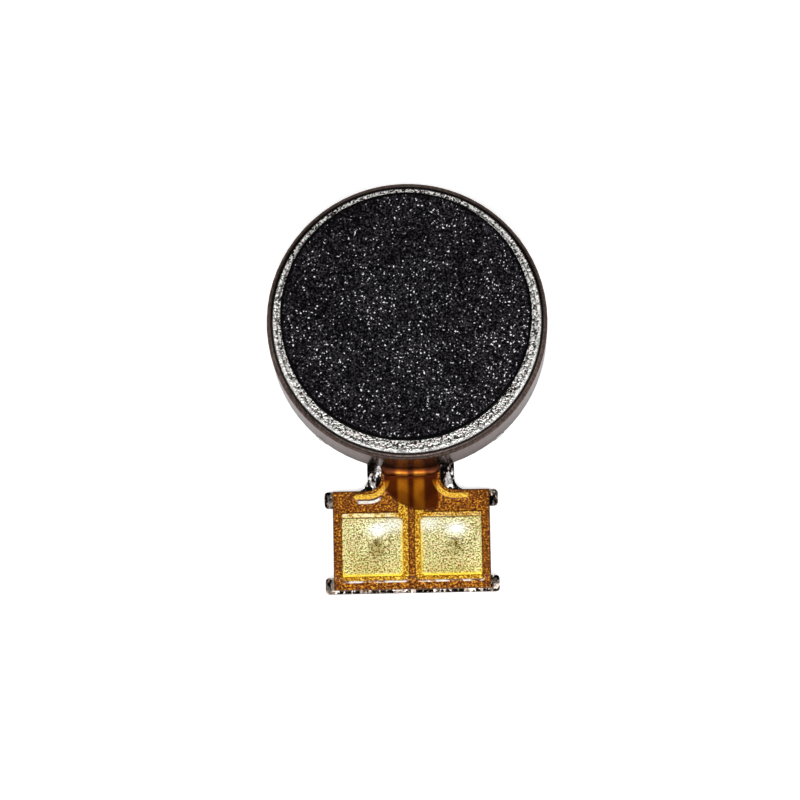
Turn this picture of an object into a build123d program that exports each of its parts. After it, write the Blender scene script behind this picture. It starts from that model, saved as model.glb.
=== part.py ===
from build123d import *
import math
import os

# Coin vibration motor: a flat brushed motor that shakes because its rotor is heavy on one side.
# Millimetres. The origin is on the rotor's axis, at the base plate's underside.
# +Z points from the base plate to the foam pad, and the contact tail runs along -Y.

# ---- Can and base plate ----
CASE_RADIUS = 5.0
CASE_HEIGHT = 2.7  # underside of the base plate to the top of the can
CASE_WALL = 0.2
CASE_ROOF = 0.2
CASE_CORNER = 0.21  # outer radius between the wall and the roof
CASE_INNER_CORNER = 0.08
PLATE_THICKNESS = 0.2
PLATE_INSET = 0.08  # the plate's edge lies this far inside the can's
TAB_WIDTH = 0.5  # tabs of the plate that sit in notches of the can's rim
TAB_RISE = 0.1
TAB_SIDE_GAP = 0.035
TAB_TOP_GAP = 0.02
TAB_ANGLES = [50, 130, 230, 310]  # degrees from +X
WELD_RADIUS = 0.2
WELD_PROUD = 0.05

# ---- Shaft and bearing ----
SHAFT_RADIUS = 0.4
SHAFT_RECESS = 0.02  # both ends of the shaft lie this far inside the motor's faces
SHAFT_ROOF_GAP = 0.01
HUB_WALL = 0.22
HUB_HEIGHT = 0.75  # top of the hub that is drawn up out of the base plate
BEARING_GAP = 0.015
BEARING_WALL = 0.265
WASHER_THICKNESS = 0.08
WASHER_GAP = 0.02
END_PLAY = 0.05  # at each end of the bearing

# ---- Flexible circuit and its tail ----
ADHESIVE_THICKNESS = 0.05
FILM_THICKNESS = 0.05
COPPER_THICKNESS = 0.035
COVERLAY_THICKNESS = 0.05  # over the copper
FLEX_HUB_GAP = 0.13
FLEX_CORNER = 0.5  # inside corner between the neck and the tail
TRACE_WIDTH = 0.34
TRACE_GAP = 0.24  # between the two traces, and between the copper of the two pads
NECK_MARGIN = 0.6  # film beyond each trace in the neck
TAIL_GAP = 0.75  # from the can to the tail
PAD_WIDTH = 2.19
PAD_LENGTH = 2.13
PAD_THICKNESS = 0.06
PAD_GAP = 0.62
PAD_INNER_CORNER = 0.17
PAD_OUTER_CORNER = 0.05
PAD_SETBACK = 0.96  # from the tail's top edge to the pads
PAD_END_MARGIN = 0.49
PAD_SIDE_MARGIN = 0.31
LAND_END_BORDER = 0.15  # copper that the coverlay holds down round each pad
LAND_SIDE_BORDER = 0.05
DENT_RADIUS = 0.45
DENT_DEPTH = 0.025
DENT_SHIFT = (0.18, 0.32)  # from each pad's centre, along +X and towards the can
GUARD_WIDTH = 0.18  # copper strips that keep the neck's corners from tearing
GUARD_INSET = 0.13
GUARD_NECK_LEG = 0.05
GUARD_TAIL_LEG = 0.41

# ---- Steel under the tail ----
STEEL_NECK_MARGIN = 0.5
STEEL_NECK_CORNER = 0.45
STEEL_SIDE_INSET = 0.03
STEEL_END_RIM = 0.1
EAR_REACH = 0.33
EAR_LENGTH = 0.58
EAR_CORNER = 0.13

# ---- Magnet, brushes and commutator ----
MAGNET_BORE_RADIUS = 2.6
MAGNET_HEIGHT = 0.8
MAGNET_CASE_GAP = 0.2
MAGNET_GLUE = 0.05
GROOVE_SIDE_GAP = 0.1
GROOVE_TOP_GAP = 0.05
FLEX_BORE_GAP = 0.1
BRUSH_WIDTH = 0.44
BRUSH_THICKNESS = 0.06
BRUSH_SLOT = 0.12  # splits the tip into two fingers
BRUSH_SLOT_START = -0.7
BRUSH_TIP = 0.85  # how far the tip reaches past the shaft's centre line
BRUSH_TIP_FLAT = 0.35
BRUSH_FOOT = 0.64
BRUSH_BEARING_GAP = 0.12
BRUSH_WINDOW_GAP = 0.05
BRUSH_CONTACT_GAP = 0.015
BRUSH_LAND_RADIUS = 0.42
BRUSH_LAND_MARGIN = 0.08
SOLDER_RADIUS = 0.32
SOLDER_HEIGHT = 0.2
SOLDER_WINDOW_GAP = 0.06
COMMUTATOR_RADIUS = 1.75
COMMUTATOR_BORE_MARGIN = 0.22
COMMUTATOR_THICKNESS = 0.035
COMMUTATOR_SEGMENTS = 6
COMMUTATOR_SLOT = 0.12

# ---- Rotor ----
ROTOR_CASE_GAP = 0.3
ROTOR_ROOF_GAP = 0.25
ROTOR_MAGNET_GAP = 0.15
BOARD_THICKNESS = 0.2
BOARD_MARGIN = 0.15  # board beyond the commutator
BOSS_RADIUS = 1.6
RESIN_SKIN = 0.1  # over the coils
RESIN_WALL = 0.12  # between a coil and the rotor's rim
RESIN_EDGE = 0.24  # beside the coils, at the rotor's straight edge
COIL_BOSS_GAP = 0.08
COIL_BORE_RADIUS = 0.5
COIL_CORNER = 0.08
COIL_ANGLE = 55  # each side of +Y
WEIGHT_HALF_ANGLE = 36
WEIGHT_INNER_RADIUS = 1.9
WEIGHT_COIL_GAP = 0.1
JOINT_RADIUS = 0.15  # soldered coil ends on the board's underside
JOINT_HEIGHT = 0.08
JOINT_ANGLES = [40, 68, 112, 140]

# ---- Seal and pad ----
NOTCH_SIDE_GAP = 0.1
NOTCH_TOP_GAP = 0.12
BEAD_REACH = 0.28
BEAD_HEIGHT = 0.22  # above the coverlay, at the can
BEAD_EDGE = 0.045
BEAD_SIDE = 0.08  # beyond the notch
TAPE_THICKNESS = 0.05
TAPE_INSET = 0.08
FOAM_THICKNESS = 0.3
FOAM_MARGIN = 0.32  # from the can's corner to the foam
FOAM_SHIFT = (-0.03, 0.11)  # the pad is stuck on by hand, slightly off centre

# ---- Radii that follow ----
CAVITY_RADIUS = CASE_RADIUS - CASE_WALL
PLATE_RADIUS = CASE_RADIUS - PLATE_INSET
HUB_RADIUS = SHAFT_RADIUS + HUB_WALL
WASHER_BORE_RADIUS = SHAFT_RADIUS + WASHER_GAP
BEARING_BORE_RADIUS = SHAFT_RADIUS + BEARING_GAP
BEARING_RADIUS = BEARING_BORE_RADIUS + BEARING_WALL
MAGNET_RADIUS = CAVITY_RADIUS - MAGNET_CASE_GAP
FLEX_RADIUS = MAGNET_BORE_RADIUS - FLEX_BORE_GAP
FLEX_BORE_RADIUS = HUB_RADIUS + FLEX_HUB_GAP
BOARD_HUB_RADIUS = COMMUTATOR_RADIUS + BOARD_MARGIN
ROTOR_RADIUS = CAVITY_RADIUS - ROTOR_CASE_GAP
COIL_RADIUS = (ROTOR_RADIUS - RESIN_WALL - BOSS_RADIUS - COIL_BOSS_GAP) / 2
COIL_ORBIT = ROTOR_RADIUS - RESIN_WALL - COIL_RADIUS
COIL_X = COIL_ORBIT * math.sin(math.radians(COIL_ANGLE))
COIL_Y = COIL_ORBIT * math.cos(math.radians(COIL_ANGLE))
FOAM_RADIUS = CASE_RADIUS - CASE_CORNER - FOAM_MARGIN

# ---- Heights that follow ----
ROOF_UNDERSIDE = CASE_HEIGHT - CASE_ROOF
FILM_Z = PLATE_THICKNESS + ADHESIVE_THICKNESS
COPPER_Z = FILM_Z + FILM_THICKNESS
COPPER_TOP = COPPER_Z + COPPER_THICKNESS
COVERLAY_TOP = COPPER_TOP + COVERLAY_THICKNESS
PAD_TOP = COPPER_Z + PAD_THICKNESS
NOTCH_TOP = COVERLAY_TOP + NOTCH_TOP_GAP
TAB_TOP = PLATE_THICKNESS + TAB_RISE
TAB_NOTCH_TOP = TAB_TOP + TAB_TOP_GAP
MAGNET_Z = PLATE_THICKNESS + MAGNET_GLUE
MAGNET_TOP = MAGNET_Z + MAGNET_HEIGHT
GROOVE_TOP = COVERLAY_TOP + GROOVE_TOP_GAP
BOARD_Z = MAGNET_TOP + ROTOR_MAGNET_GAP
BOARD_TOP = BOARD_Z + BOARD_THICKNESS
COMMUTATOR_Z = BOARD_Z - COMMUTATOR_THICKNESS
BRUSH_TOP = COMMUTATOR_Z - BRUSH_CONTACT_GAP
ROTOR_TOP = ROOF_UNDERSIDE - ROTOR_ROOF_GAP
COIL_TOP = ROTOR_TOP - RESIN_SKIN
BEARING_Z = HUB_HEIGHT + WASHER_THICKNESS + END_PLAY
BEARING_TOP = ROOF_UNDERSIDE - WASHER_THICKNESS - END_PLAY
FOAM_Z = CASE_HEIGHT + TAPE_THICKNESS

# ---- Places along the tail that follow ----
TAIL_TOP = -(CASE_RADIUS + TAIL_GAP)
PAD_TOP_EDGE = TAIL_TOP - PAD_SETBACK
PAD_X = (PAD_GAP + PAD_WIDTH) / 2
PAD_Y = PAD_TOP_EDGE - PAD_LENGTH / 2
PAD_END = PAD_TOP_EDGE - PAD_LENGTH
FLEX_END = PAD_END - PAD_END_MARGIN
STEEL_END = FLEX_END - STEEL_END_RIM
NECK_HALF = TRACE_GAP / 2 + TRACE_WIDTH + NECK_MARGIN
TAIL_HALF = PAD_GAP / 2 + PAD_WIDTH + PAD_SIDE_MARGIN
STEEL_NECK_HALF = NECK_HALF + STEEL_NECK_MARGIN
STEEL_HALF = TAIL_HALF - STEEL_SIDE_INSET
NOTCH_HALF = NECK_HALF + NOTCH_SIDE_GAP
GROOVE_HALF = NECK_HALF + GROOVE_SIDE_GAP

# ---- Places of the brushes that follow ----
BRUSH_X = BEARING_RADIUS + BRUSH_BEARING_GAP + BRUSH_WIDTH / 2
BRUSH_LAND_ORBIT = FLEX_RADIUS - BRUSH_LAND_MARGIN - BRUSH_LAND_RADIUS
BRUSH_LAND_Y = -math.sqrt(BRUSH_LAND_ORBIT**2 - BRUSH_X**2)
FOOT_START = BRUSH_LAND_Y - BRUSH_FOOT / 2
FOOT_END = BRUSH_LAND_Y + BRUSH_FOOT / 2
BRUSH_LOW = BRUSH_TOP - BRUSH_THICKNESS  # underside of the strip at its tip
BRUSH_BEND = BRUSH_TIP - BRUSH_TIP_FLAT
BRUSH_SLOPE = (BRUSH_LOW - COPPER_TOP) / (BRUSH_BEND - FOOT_END)

STANDING = (Align.CENTER, Align.CENTER, Align.MIN)


# ---- Shapes that several sub-parts use ----
def disc(radius, low, high, x=0, y=0):
    """Upright cylinder between two heights."""
    return Pos(x, y, low) * Cylinder(radius, high - low, align=STANDING)


def ring(outer, inner, low, high, x=0, y=0):
    """Upright tube between two heights."""
    return disc(outer, low, high, x, y) - disc(inner, low, high, x, y)


def block(x_range, y_range, low, high):
    """Box between two places along each axis."""
    (x0, x1), (y0, y1) = x_range, y_range
    return Pos((x0 + x1) / 2, (y0 + y1) / 2, low) * Box(x1 - x0, y1 - y0, high - low, align=STANDING)


def panel(x_range, y_range):
    """Flat rectangle between two places along X and Y."""
    (x0, x1), (y0, y1) = x_range, y_range
    return Pos((x0 + x1) / 2, (y0 + y1) / 2) * Rectangle(x1 - x0, y1 - y0)


def layer(outline, low, high):
    """Flat outline raised between two heights."""
    return extrude(Pos(0, 0, low) * outline, amount=high - low)


def both_sides(shape):
    """The shape and its mirror image across the YZ plane."""
    return shape + mirror(shape, about=Plane.YZ)


def rim_block(inner, outer, width, low, high, angle):
    """Straight-sided piece of an upright tube, centred at an angle from +X."""
    side = width / 2
    bar = Rot(0, 0, angle) * block((0, 2 * outer), (-side, side), low, high)
    return bar & ring(outer, inner, low, high)


def neck_and_tail(neck_half, tail_half, tail_end, corner):
    """Outline of a neck from the axis to the tail and of the tail, with rounded inside corners."""
    neck = panel((-neck_half, neck_half), (TAIL_TOP, 0))
    tail = panel((-tail_half, tail_half), (tail_end, TAIL_TOP))
    web = panel((neck_half, neck_half + corner), (TAIL_TOP, TAIL_TOP + corner))
    web -= Pos(neck_half + corner, TAIL_TOP + corner) * Circle(corner)
    return neck + tail + both_sides(web)


def rounded_disc(radius, low, high, corner):
    """Upright cylinder whose upper edge is rounded."""
    body = disc(radius, low, high)
    return fillet(body.edges().group_by(Axis.Z)[-1], corner)


def solder_cone(radius, height):
    """Solder joint on the XY plane, with a flat top half as wide as its base."""
    return Cone(radius, radius / 2, height, align=STANDING)


# ---- Can, plate and shaft ----
def case():
    """Drawn steel can with the exit notch for the circuit and four notches for the plate's tabs."""
    shell = rounded_disc(CASE_RADIUS, PLATE_THICKNESS, CASE_HEIGHT, CASE_CORNER)
    shell -= rounded_disc(CAVITY_RADIUS, PLATE_THICKNESS, ROOF_UNDERSIDE, CASE_INNER_CORNER)
    shell -= disc(SHAFT_RADIUS + SHAFT_ROOF_GAP, ROOF_UNDERSIDE, CASE_HEIGHT)
    shell -= block((-NOTCH_HALF, NOTCH_HALF), (-2 * CASE_RADIUS, 0), PLATE_THICKNESS, NOTCH_TOP)
    for angle in TAB_ANGLES:
        width = TAB_WIDTH + 2 * TAB_SIDE_GAP
        bar = block((0, 2 * CASE_RADIUS), (-width / 2, width / 2), PLATE_THICKNESS, TAB_NOTCH_TOP)
        shell -= Rot(0, 0, angle) * bar
    return shell


def base_plate():
    """Steel plate with a drawn hub, four rim tabs and the neck and tail that back the circuit."""
    outline = Circle(PLATE_RADIUS)
    outline += neck_and_tail(STEEL_NECK_HALF, STEEL_HALF, STEEL_END, STEEL_NECK_CORNER)
    ear_half = STEEL_HALF + EAR_REACH
    for ear_end in (TAIL_TOP - EAR_LENGTH, STEEL_END):
        ears = RectangleRounded(2 * ear_half, EAR_LENGTH, EAR_CORNER)
        outline += Pos(0, ear_end + EAR_LENGTH / 2) * ears
    plate = layer(outline, 0, PLATE_THICKNESS)
    for angle in TAB_ANGLES:
        plate += rim_block(CAVITY_RADIUS, CASE_RADIUS, TAB_WIDTH, 0, TAB_TOP, angle)
    plate += disc(HUB_RADIUS, 0, HUB_HEIGHT)
    return plate - disc(SHAFT_RADIUS, 0, HUB_HEIGHT)


def weld_spots():
    """Laser weld over the top of each tab, standing proud of the can's wall."""
    spots = []
    for angle in TAB_ANGLES:
        ball = Pos(CASE_RADIUS + WELD_PROUD - WELD_RADIUS, 0, TAB_NOTCH_TOP) * Sphere(WELD_RADIUS)
        spots.append(Rot(0, 0, angle) * ball - disc(CASE_RADIUS, 0, CASE_HEIGHT))
    return Compound(children=spots)


def shaft():
    """Fixed steel pin from the plate's hub to the can's roof."""
    return disc(SHAFT_RADIUS, SHAFT_RECESS, CASE_HEIGHT - SHAFT_RECESS)


def lower_washer():
    """Slip washer on top of the hub."""
    return ring(HUB_RADIUS, WASHER_BORE_RADIUS, HUB_HEIGHT, HUB_HEIGHT + WASHER_THICKNESS)


def upper_washer():
    """Slip washer under the can's roof."""
    return ring(HUB_RADIUS, WASHER_BORE_RADIUS, ROOF_UNDERSIDE - WASHER_THICKNESS, ROOF_UNDERSIDE)


# ---- Magnet ----
def flex_groove(low):
    """Space under the magnet that the circuit's neck runs through."""
    return block((-GROOVE_HALF, GROOVE_HALF), (-2 * MAGNET_RADIUS, 0), low, GROOVE_TOP)


def ring_magnet():
    """Flat ring magnet with a groove in its underside for the circuit."""
    return ring(MAGNET_RADIUS, MAGNET_BORE_RADIUS, MAGNET_Z, MAGNET_TOP) - flex_groove(MAGNET_Z)


def magnet_glue():
    """Film of glue between the magnet and the plate."""
    film = ring(MAGNET_RADIUS, MAGNET_BORE_RADIUS, PLATE_THICKNESS, MAGNET_Z)
    return film - flex_groove(PLATE_THICKNESS)


# ---- Flexible circuit ----
def flex_outline():
    """Outline that the adhesive, the film and the coverlay share."""
    outline = Circle(FLEX_RADIUS) + neck_and_tail(NECK_HALF, TAIL_HALF, FLEX_END, FLEX_CORNER)
    return outline - Circle(FLEX_BORE_RADIUS)


def pad_outline():
    """Outline of the right contact pad."""
    outline = Rectangle(PAD_WIDTH, PAD_LENGTH)
    outline = fillet(outline.vertices().sort_by(Axis.X)[:2], PAD_INNER_CORNER)
    outline = fillet(outline.vertices().sort_by(Axis.X)[-2:], PAD_OUTER_CORNER)
    return Pos(PAD_X, PAD_Y) * outline


def trace_outline():
    """Copper of the right conductor: pad land, trace through the neck and brush land."""
    pad_side = PAD_X + PAD_WIDTH / 2 + LAND_SIDE_BORDER
    land = panel(
        (TRACE_GAP / 2, pad_side), (PAD_END - LAND_END_BORDER, PAD_TOP_EDGE + LAND_END_BORDER)
    )
    land = fillet(land.vertices().sort_by(Axis.X)[:2], PAD_INNER_CORNER)
    track = panel((TRACE_GAP / 2, TRACE_GAP / 2 + TRACE_WIDTH), (PAD_Y, BRUSH_LAND_Y))
    side = TRACE_WIDTH / 2
    link = panel((TRACE_GAP / 2, BRUSH_X), (BRUSH_LAND_Y - side, BRUSH_LAND_Y + side))
    return land + track + link + Pos(BRUSH_X, BRUSH_LAND_Y) * Circle(BRUSH_LAND_RADIUS)


def guard_outline():
    """Outline of the right tear guard, which follows the inside corner of the neck."""
    outer = FLEX_CORNER + GUARD_INSET + GUARD_WIDTH
    inner = outer - GUARD_WIDTH
    bend = (Circle(outer) - Circle(inner)) & panel((-outer, 0), (-outer, 0))
    bend += panel((-outer, -inner), (0, GUARD_NECK_LEG)) + panel((0, GUARD_TAIL_LEG), (-outer, -inner))
    middle = (outer + inner) / 2
    for end in ((-middle, GUARD_NECK_LEG), (GUARD_TAIL_LEG, -middle)):
        bend += Pos(*end) * Circle(GUARD_WIDTH / 2)
    return Pos(NECK_HALF + FLEX_CORNER, TAIL_TOP + FLEX_CORNER) * bend


def window_outline():
    """Opening of the coverlay over the right brush land."""
    hole = Pos(BRUSH_X, BRUSH_LAND_Y) * Circle(SOLDER_RADIUS + SOLDER_WINDOW_GAP)
    side = BRUSH_WIDTH / 2 + BRUSH_WINDOW_GAP
    clear = FOOT_END + (COVERLAY_THICKNESS + BRUSH_WINDOW_GAP) / BRUSH_SLOPE
    return hole + panel((BRUSH_X - side, BRUSH_X + side), (FOOT_START - BRUSH_WINDOW_GAP, clear))


def flex_adhesive():
    """Adhesive between the circuit and the plate."""
    return layer(flex_outline(), PLATE_THICKNESS, FILM_Z)


def flex_base_film():
    """Polyimide film that carries the copper."""
    return layer(flex_outline(), FILM_Z, COPPER_Z)


def trace_right():
    """Copper of the right conductor, open where the contact pad sits."""
    return layer(trace_outline() - pad_outline(), COPPER_Z, COPPER_TOP)


def trace_left():
    """Mirror image of the right conductor."""
    return mirror(trace_right(), about=Plane.YZ)


def tear_guards():
    """Two copper strips beside the neck that carry no current."""
    right = layer(guard_outline(), COPPER_Z, COPPER_TOP)
    return Compound(children=[right, mirror(right, about=Plane.YZ)])


def flex_coverlay():
    """Upper film, which rests on the copper and is open over the pads and the brush lands."""
    copper = both_sides(layer(trace_outline() + guard_outline(), COPPER_Z, COPPER_TOP))
    pads = both_sides(layer(pad_outline(), COPPER_Z, COVERLAY_TOP))
    windows = both_sides(layer(window_outline(), COPPER_TOP, COVERLAY_TOP))
    return layer(flex_outline(), COPPER_Z, COVERLAY_TOP) - copper - pads - windows


def dented(pad, centre_x):
    """The pad with the shallow dent of a test probe, which missed both centres the same way."""
    ball = (DENT_RADIUS**2 + DENT_DEPTH**2) / (2 * DENT_DEPTH)
    x, y = centre_x + DENT_SHIFT[0], PAD_Y + DENT_SHIFT[1]
    return pad - Pos(x, y, PAD_TOP - DENT_DEPTH + ball) * Sphere(ball)


def contact_pad_right():
    """Gold-plated contact pad on the right."""
    return dented(layer(pad_outline(), COPPER_Z, PAD_TOP), PAD_X)


def contact_pad_left():
    """Gold-plated contact pad on the left."""
    pad = mirror(layer(pad_outline(), COPPER_Z, PAD_TOP), about=Plane.YZ)
    return dented(pad, -PAD_X)


# ---- Brushes ----
def strip_outline(points, thickness):
    """Outline of a bent strip whose lower side runs through the points."""
    steps = [(q[0] - p[0], q[1] - p[1]) for p, q in zip(points, points[1:])]
    normals = [(-dy / math.hypot(dx, dy), dx / math.hypot(dx, dy)) for dx, dy in steps]
    upper = []
    for point, before, after in zip(points, normals[:1] + normals, normals + normals[-1:]):
        mitre = thickness / (1 + before[0] * after[0] + before[1] * after[1])
        upper.append((point[0] + mitre * (before[0] + after[0]), point[1] + mitre * (before[1] + after[1])))
    return Polygon(*points, *reversed(upper), align=None)


def brush_right():
    """Springy strip from its land up to the commutator, slotted into two fingers at the tip."""
    points = [
        (FOOT_START, COPPER_TOP),
        (FOOT_END, COPPER_TOP),
        (BRUSH_BEND, BRUSH_LOW),
        (BRUSH_TIP, BRUSH_LOW),
    ]
    side = Plane.YZ.offset(BRUSH_X - BRUSH_WIDTH / 2) * strip_outline(points, BRUSH_THICKNESS)
    strip = extrude(side, amount=BRUSH_WIDTH)
    half = BRUSH_SLOT / 2
    return strip - block((BRUSH_X - half, BRUSH_X + half), (BRUSH_SLOT_START, 2 * BRUSH_TIP), 0, BOARD_Z)


def brush_left():
    """Mirror image of the right brush."""
    return mirror(brush_right(), about=Plane.YZ)


def brush_solder():
    """Solder joint over the foot of each brush."""
    joint = Pos(BRUSH_X, BRUSH_LAND_Y, COPPER_TOP) * solder_cone(SOLDER_RADIUS, SOLDER_HEIGHT)
    joint -= brush_right()
    return Compound(children=[joint, mirror(joint, about=Plane.YZ)])


# ---- Rotor ----
def rotor_outline(hub_radius):
    """Half disc with a round hub, the plan of the board and of the resin body."""
    straight_edge = COIL_Y - COIL_RADIUS - RESIN_EDGE
    half = Circle(ROTOR_RADIUS) & panel((-ROTOR_RADIUS, ROTOR_RADIUS), (straight_edge, ROTOR_RADIUS))
    return half + Circle(hub_radius)


def coil_circles(radius):
    """Circles about the two coils' centres."""
    return both_sides(Pos(COIL_X, COIL_Y) * Circle(radius))


def bearing():
    """Sintered sleeve that turns on the shaft."""
    return ring(BEARING_RADIUS, BEARING_BORE_RADIUS, BEARING_Z, BEARING_TOP)


def rotor_board():
    """Circuit board that carries the coils above and the commutator below."""
    return layer(rotor_outline(BOARD_HUB_RADIUS) - Circle(BEARING_RADIUS), BOARD_Z, BOARD_TOP)


def commutator():
    """Ring of copper segments under the board."""
    track = ring(COMMUTATOR_RADIUS, BEARING_RADIUS + COMMUTATOR_BORE_MARGIN, COMMUTATOR_Z, BOARD_Z)
    half = COMMUTATOR_SLOT / 2
    for step in range(COMMUTATOR_SEGMENTS):
        slot = block((0, 2 * COMMUTATOR_RADIUS), (-half, half), COMMUTATOR_Z, BOARD_Z)
        track -= Rot(0, 0, step * 360 / COMMUTATOR_SEGMENTS) * slot
    return track


def coil_right():
    """Flat round coil of enamelled wire."""
    coil = ring(COIL_RADIUS, COIL_BORE_RADIUS, BOARD_TOP, COIL_TOP, COIL_X, COIL_Y)
    return fillet(coil.edges().filter_by(GeomType.CIRCLE), COIL_CORNER)


def coil_left():
    """Mirror image of the right coil."""
    return mirror(coil_right(), about=Plane.YZ)


def weight_outline():
    """Wedge between the coils."""
    reach = 2 * ROTOR_RADIUS
    spread = reach * math.tan(math.radians(WEIGHT_HALF_ANGLE))
    wedge = Polygon((0, 0), (spread, reach), (-spread, reach), align=None)
    wedge &= Circle(ROTOR_RADIUS) - Circle(WEIGHT_INNER_RADIUS)
    return wedge - coil_circles(COIL_RADIUS + WEIGHT_COIL_GAP)


def counterweight():
    """Tungsten block that throws the rotor off balance."""
    return layer(weight_outline(), BOARD_TOP, ROTOR_TOP)


def rotor_moulding():
    """Resin body that holds the bearing, the coils and the weight together."""
    outline = rotor_outline(BOSS_RADIUS) - weight_outline() - Circle(BEARING_RADIUS)
    return layer(outline, BOARD_TOP, ROTOR_TOP) - coil_right() - coil_left()


def coil_solder():
    """Soldered coil ends on the underside of the board."""
    orbit = (BOARD_HUB_RADIUS + MAGNET_BORE_RADIUS) / 2
    joint = Pos(orbit, 0, BOARD_Z) * Rot(180, 0, 0) * solder_cone(JOINT_RADIUS, JOINT_HEIGHT)
    return Compound(children=[Rot(0, 0, angle) * joint for angle in JOINT_ANGLES])


# ---- Seal and pad ----
def exit_sealant():
    """Cured sealant that fills the notch round the circuit and rises up the can outside."""
    plug = rim_block(CAVITY_RADIUS, CASE_RADIUS, 2 * NOTCH_HALF, PLATE_THICKNESS, NOTCH_TOP, -90)
    reach = CASE_RADIUS + BEAD_REACH
    section = Polygon(
        (CASE_RADIUS, PLATE_THICKNESS),
        (reach, PLATE_THICKNESS),
        (reach, COVERLAY_TOP + BEAD_EDGE),
        (CASE_RADIUS, COVERLAY_TOP + BEAD_HEIGHT),
        align=None,
    )
    bead = revolve(Plane.XZ * section, axis=Axis.Z)
    side = NOTCH_HALF + BEAD_SIDE
    bead &= block((-side, side), (-2 * CASE_RADIUS, 0), PLATE_THICKNESS, CASE_HEIGHT)
    return plug + bead - layer(flex_outline(), PLATE_THICKNESS, COVERLAY_TOP)


def pad_tape():
    """Double-sided tape under the foam."""
    return disc(FOAM_RADIUS - TAPE_INSET, CASE_HEIGHT, FOAM_Z, *FOAM_SHIFT)


def foam_pad():
    """Black foam disc that seats the motor against what it shakes."""
    return disc(FOAM_RADIUS, FOAM_Z, FOAM_Z + FOAM_THICKNESS, *FOAM_SHIFT)


SUB_PARTS = [
    case,
    base_plate,
    weld_spots,
    shaft,
    lower_washer,
    upper_washer,
    ring_magnet,
    magnet_glue,
    flex_adhesive,
    flex_base_film,
    trace_left,
    trace_right,
    tear_guards,
    flex_coverlay,
    contact_pad_left,
    contact_pad_right,
    brush_left,
    brush_right,
    brush_solder,
    exit_sealant,
    pad_tape,
    foam_pad,
    bearing,
    rotor_board,
    commutator,
    coil_left,
    coil_right,
    counterweight,
    rotor_moulding,
    coil_solder,
]

os.makedirs("parts", exist_ok=True)
for sub_part in SUB_PARTS:
    export_step(sub_part(), f"parts/{sub_part.__name__}.step")
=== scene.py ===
import math

import bpy
import numpy as np
from mathutils import Matrix, Vector


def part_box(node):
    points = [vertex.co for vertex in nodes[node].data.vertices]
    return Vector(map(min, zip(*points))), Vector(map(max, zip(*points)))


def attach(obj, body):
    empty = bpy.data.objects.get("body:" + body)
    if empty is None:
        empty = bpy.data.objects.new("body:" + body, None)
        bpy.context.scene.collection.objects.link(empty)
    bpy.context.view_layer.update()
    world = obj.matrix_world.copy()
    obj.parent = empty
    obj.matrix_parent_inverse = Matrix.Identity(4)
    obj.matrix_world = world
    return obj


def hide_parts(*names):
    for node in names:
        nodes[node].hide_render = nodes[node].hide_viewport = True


# Coin vibration motor, dressed for rendering. Blender works in metres; lengths below are
# millimetres and MM turns them into metres.
MM = 0.001

# ---- Sizes shared with the CAD model, in millimetres ----
CASE_RADIUS = 5.0
CASE_CORNER = 0.21
CASE_HEIGHT = 2.7
RING_EDGE = CASE_RADIUS - CASE_CORNER  # where the flat top meets the rounded corner
FOAM_CENTRE = (-0.03, 0.11)
FOAM_RADIUS = 4.47
FOAM_LOW, FOAM_TOP = 2.75, 3.05
FILM_TOP = 0.3
COVERLAY_TOP = 0.385
PAD_TOP = 0.36
NECK_HALF = 1.06
TAIL_HALF = 2.81
TAIL_TOP, TAIL_END = -5.75, -9.33
FLEX_CORNER = 0.5
FLEX_RADIUS, FLEX_BORE = 2.5, 0.75
PAD_IN, PAD_OUT = 0.31, 2.5
PAD_MIDDLE = (PAD_IN + PAD_OUT) / 2
PAD_NEAR, PAD_FAR = -6.71, -8.84  # towards the can, and at the tail's end
PAD_CORNER, PAD_OUTER_CORNER = 0.17, 0.05
TRACE_IN, TRACE_OUT = 0.12, 0.46
LAND_OUT = 2.5  # the coverlay's edge hides the copper's outer border
LAND_NEAR, LAND_FAR = -6.56, -8.99
GUARD_RADIUS, GUARD_HALF, GUARD_LEG = 0.72, 0.09, 0.41
NECK_START = -4.5  # where the plate comes out from under the can
BEAD_FOOT = -5.25  # where the sealant ends on the circuit
DENT_SHIFT = (0.18, 0.32)  # from a pad's middle to its dent
DENT_PIT = (0.024, 0.17, 0.15)  # depth and reach along X and Y
DENT_DISH = (0.026, 0.7, 0.65)
WIRE_PITCH = 0.06  # between the coils' turns
SHEET_STEP = 0.03  # grid spacing of the film and the pads
PLATE_EDGE = 0.09  # rounding of the base plate's edges

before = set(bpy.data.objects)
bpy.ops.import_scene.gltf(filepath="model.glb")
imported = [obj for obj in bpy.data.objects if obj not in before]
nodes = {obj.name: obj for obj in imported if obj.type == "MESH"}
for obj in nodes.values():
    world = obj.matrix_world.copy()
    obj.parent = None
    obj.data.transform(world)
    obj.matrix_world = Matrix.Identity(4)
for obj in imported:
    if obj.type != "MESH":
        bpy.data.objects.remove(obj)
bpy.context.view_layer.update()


# ---- Signed distances in plan, in millimetres, negative inside ----
def sd_box(x, y, x_range, y_range, corner=0.0):
    (x0, x1), (y0, y1) = x_range, y_range
    qx = np.abs(x - (x0 + x1) / 2) - (x1 - x0) / 2 + corner
    qy = np.abs(y - (y0 + y1) / 2) - (y1 - y0) / 2 + corner
    outside = np.hypot(np.maximum(qx, 0), np.maximum(qy, 0))
    return outside + np.minimum(np.maximum(qx, qy), 0) - corner


def sd_disc(x, y, radius, cx=0.0, cy=0.0):
    return np.hypot(x - cx, y - cy) - radius


def sd_capsule(x, y, a, b, radius):
    px, py = x - a[0], y - a[1]
    bx, by = b[0] - a[0], b[1] - a[1]
    h = np.clip((px * bx + py * by) / (bx * bx + by * by), 0, 1)
    return np.hypot(px - bx * h, py - by * h) - radius


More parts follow.
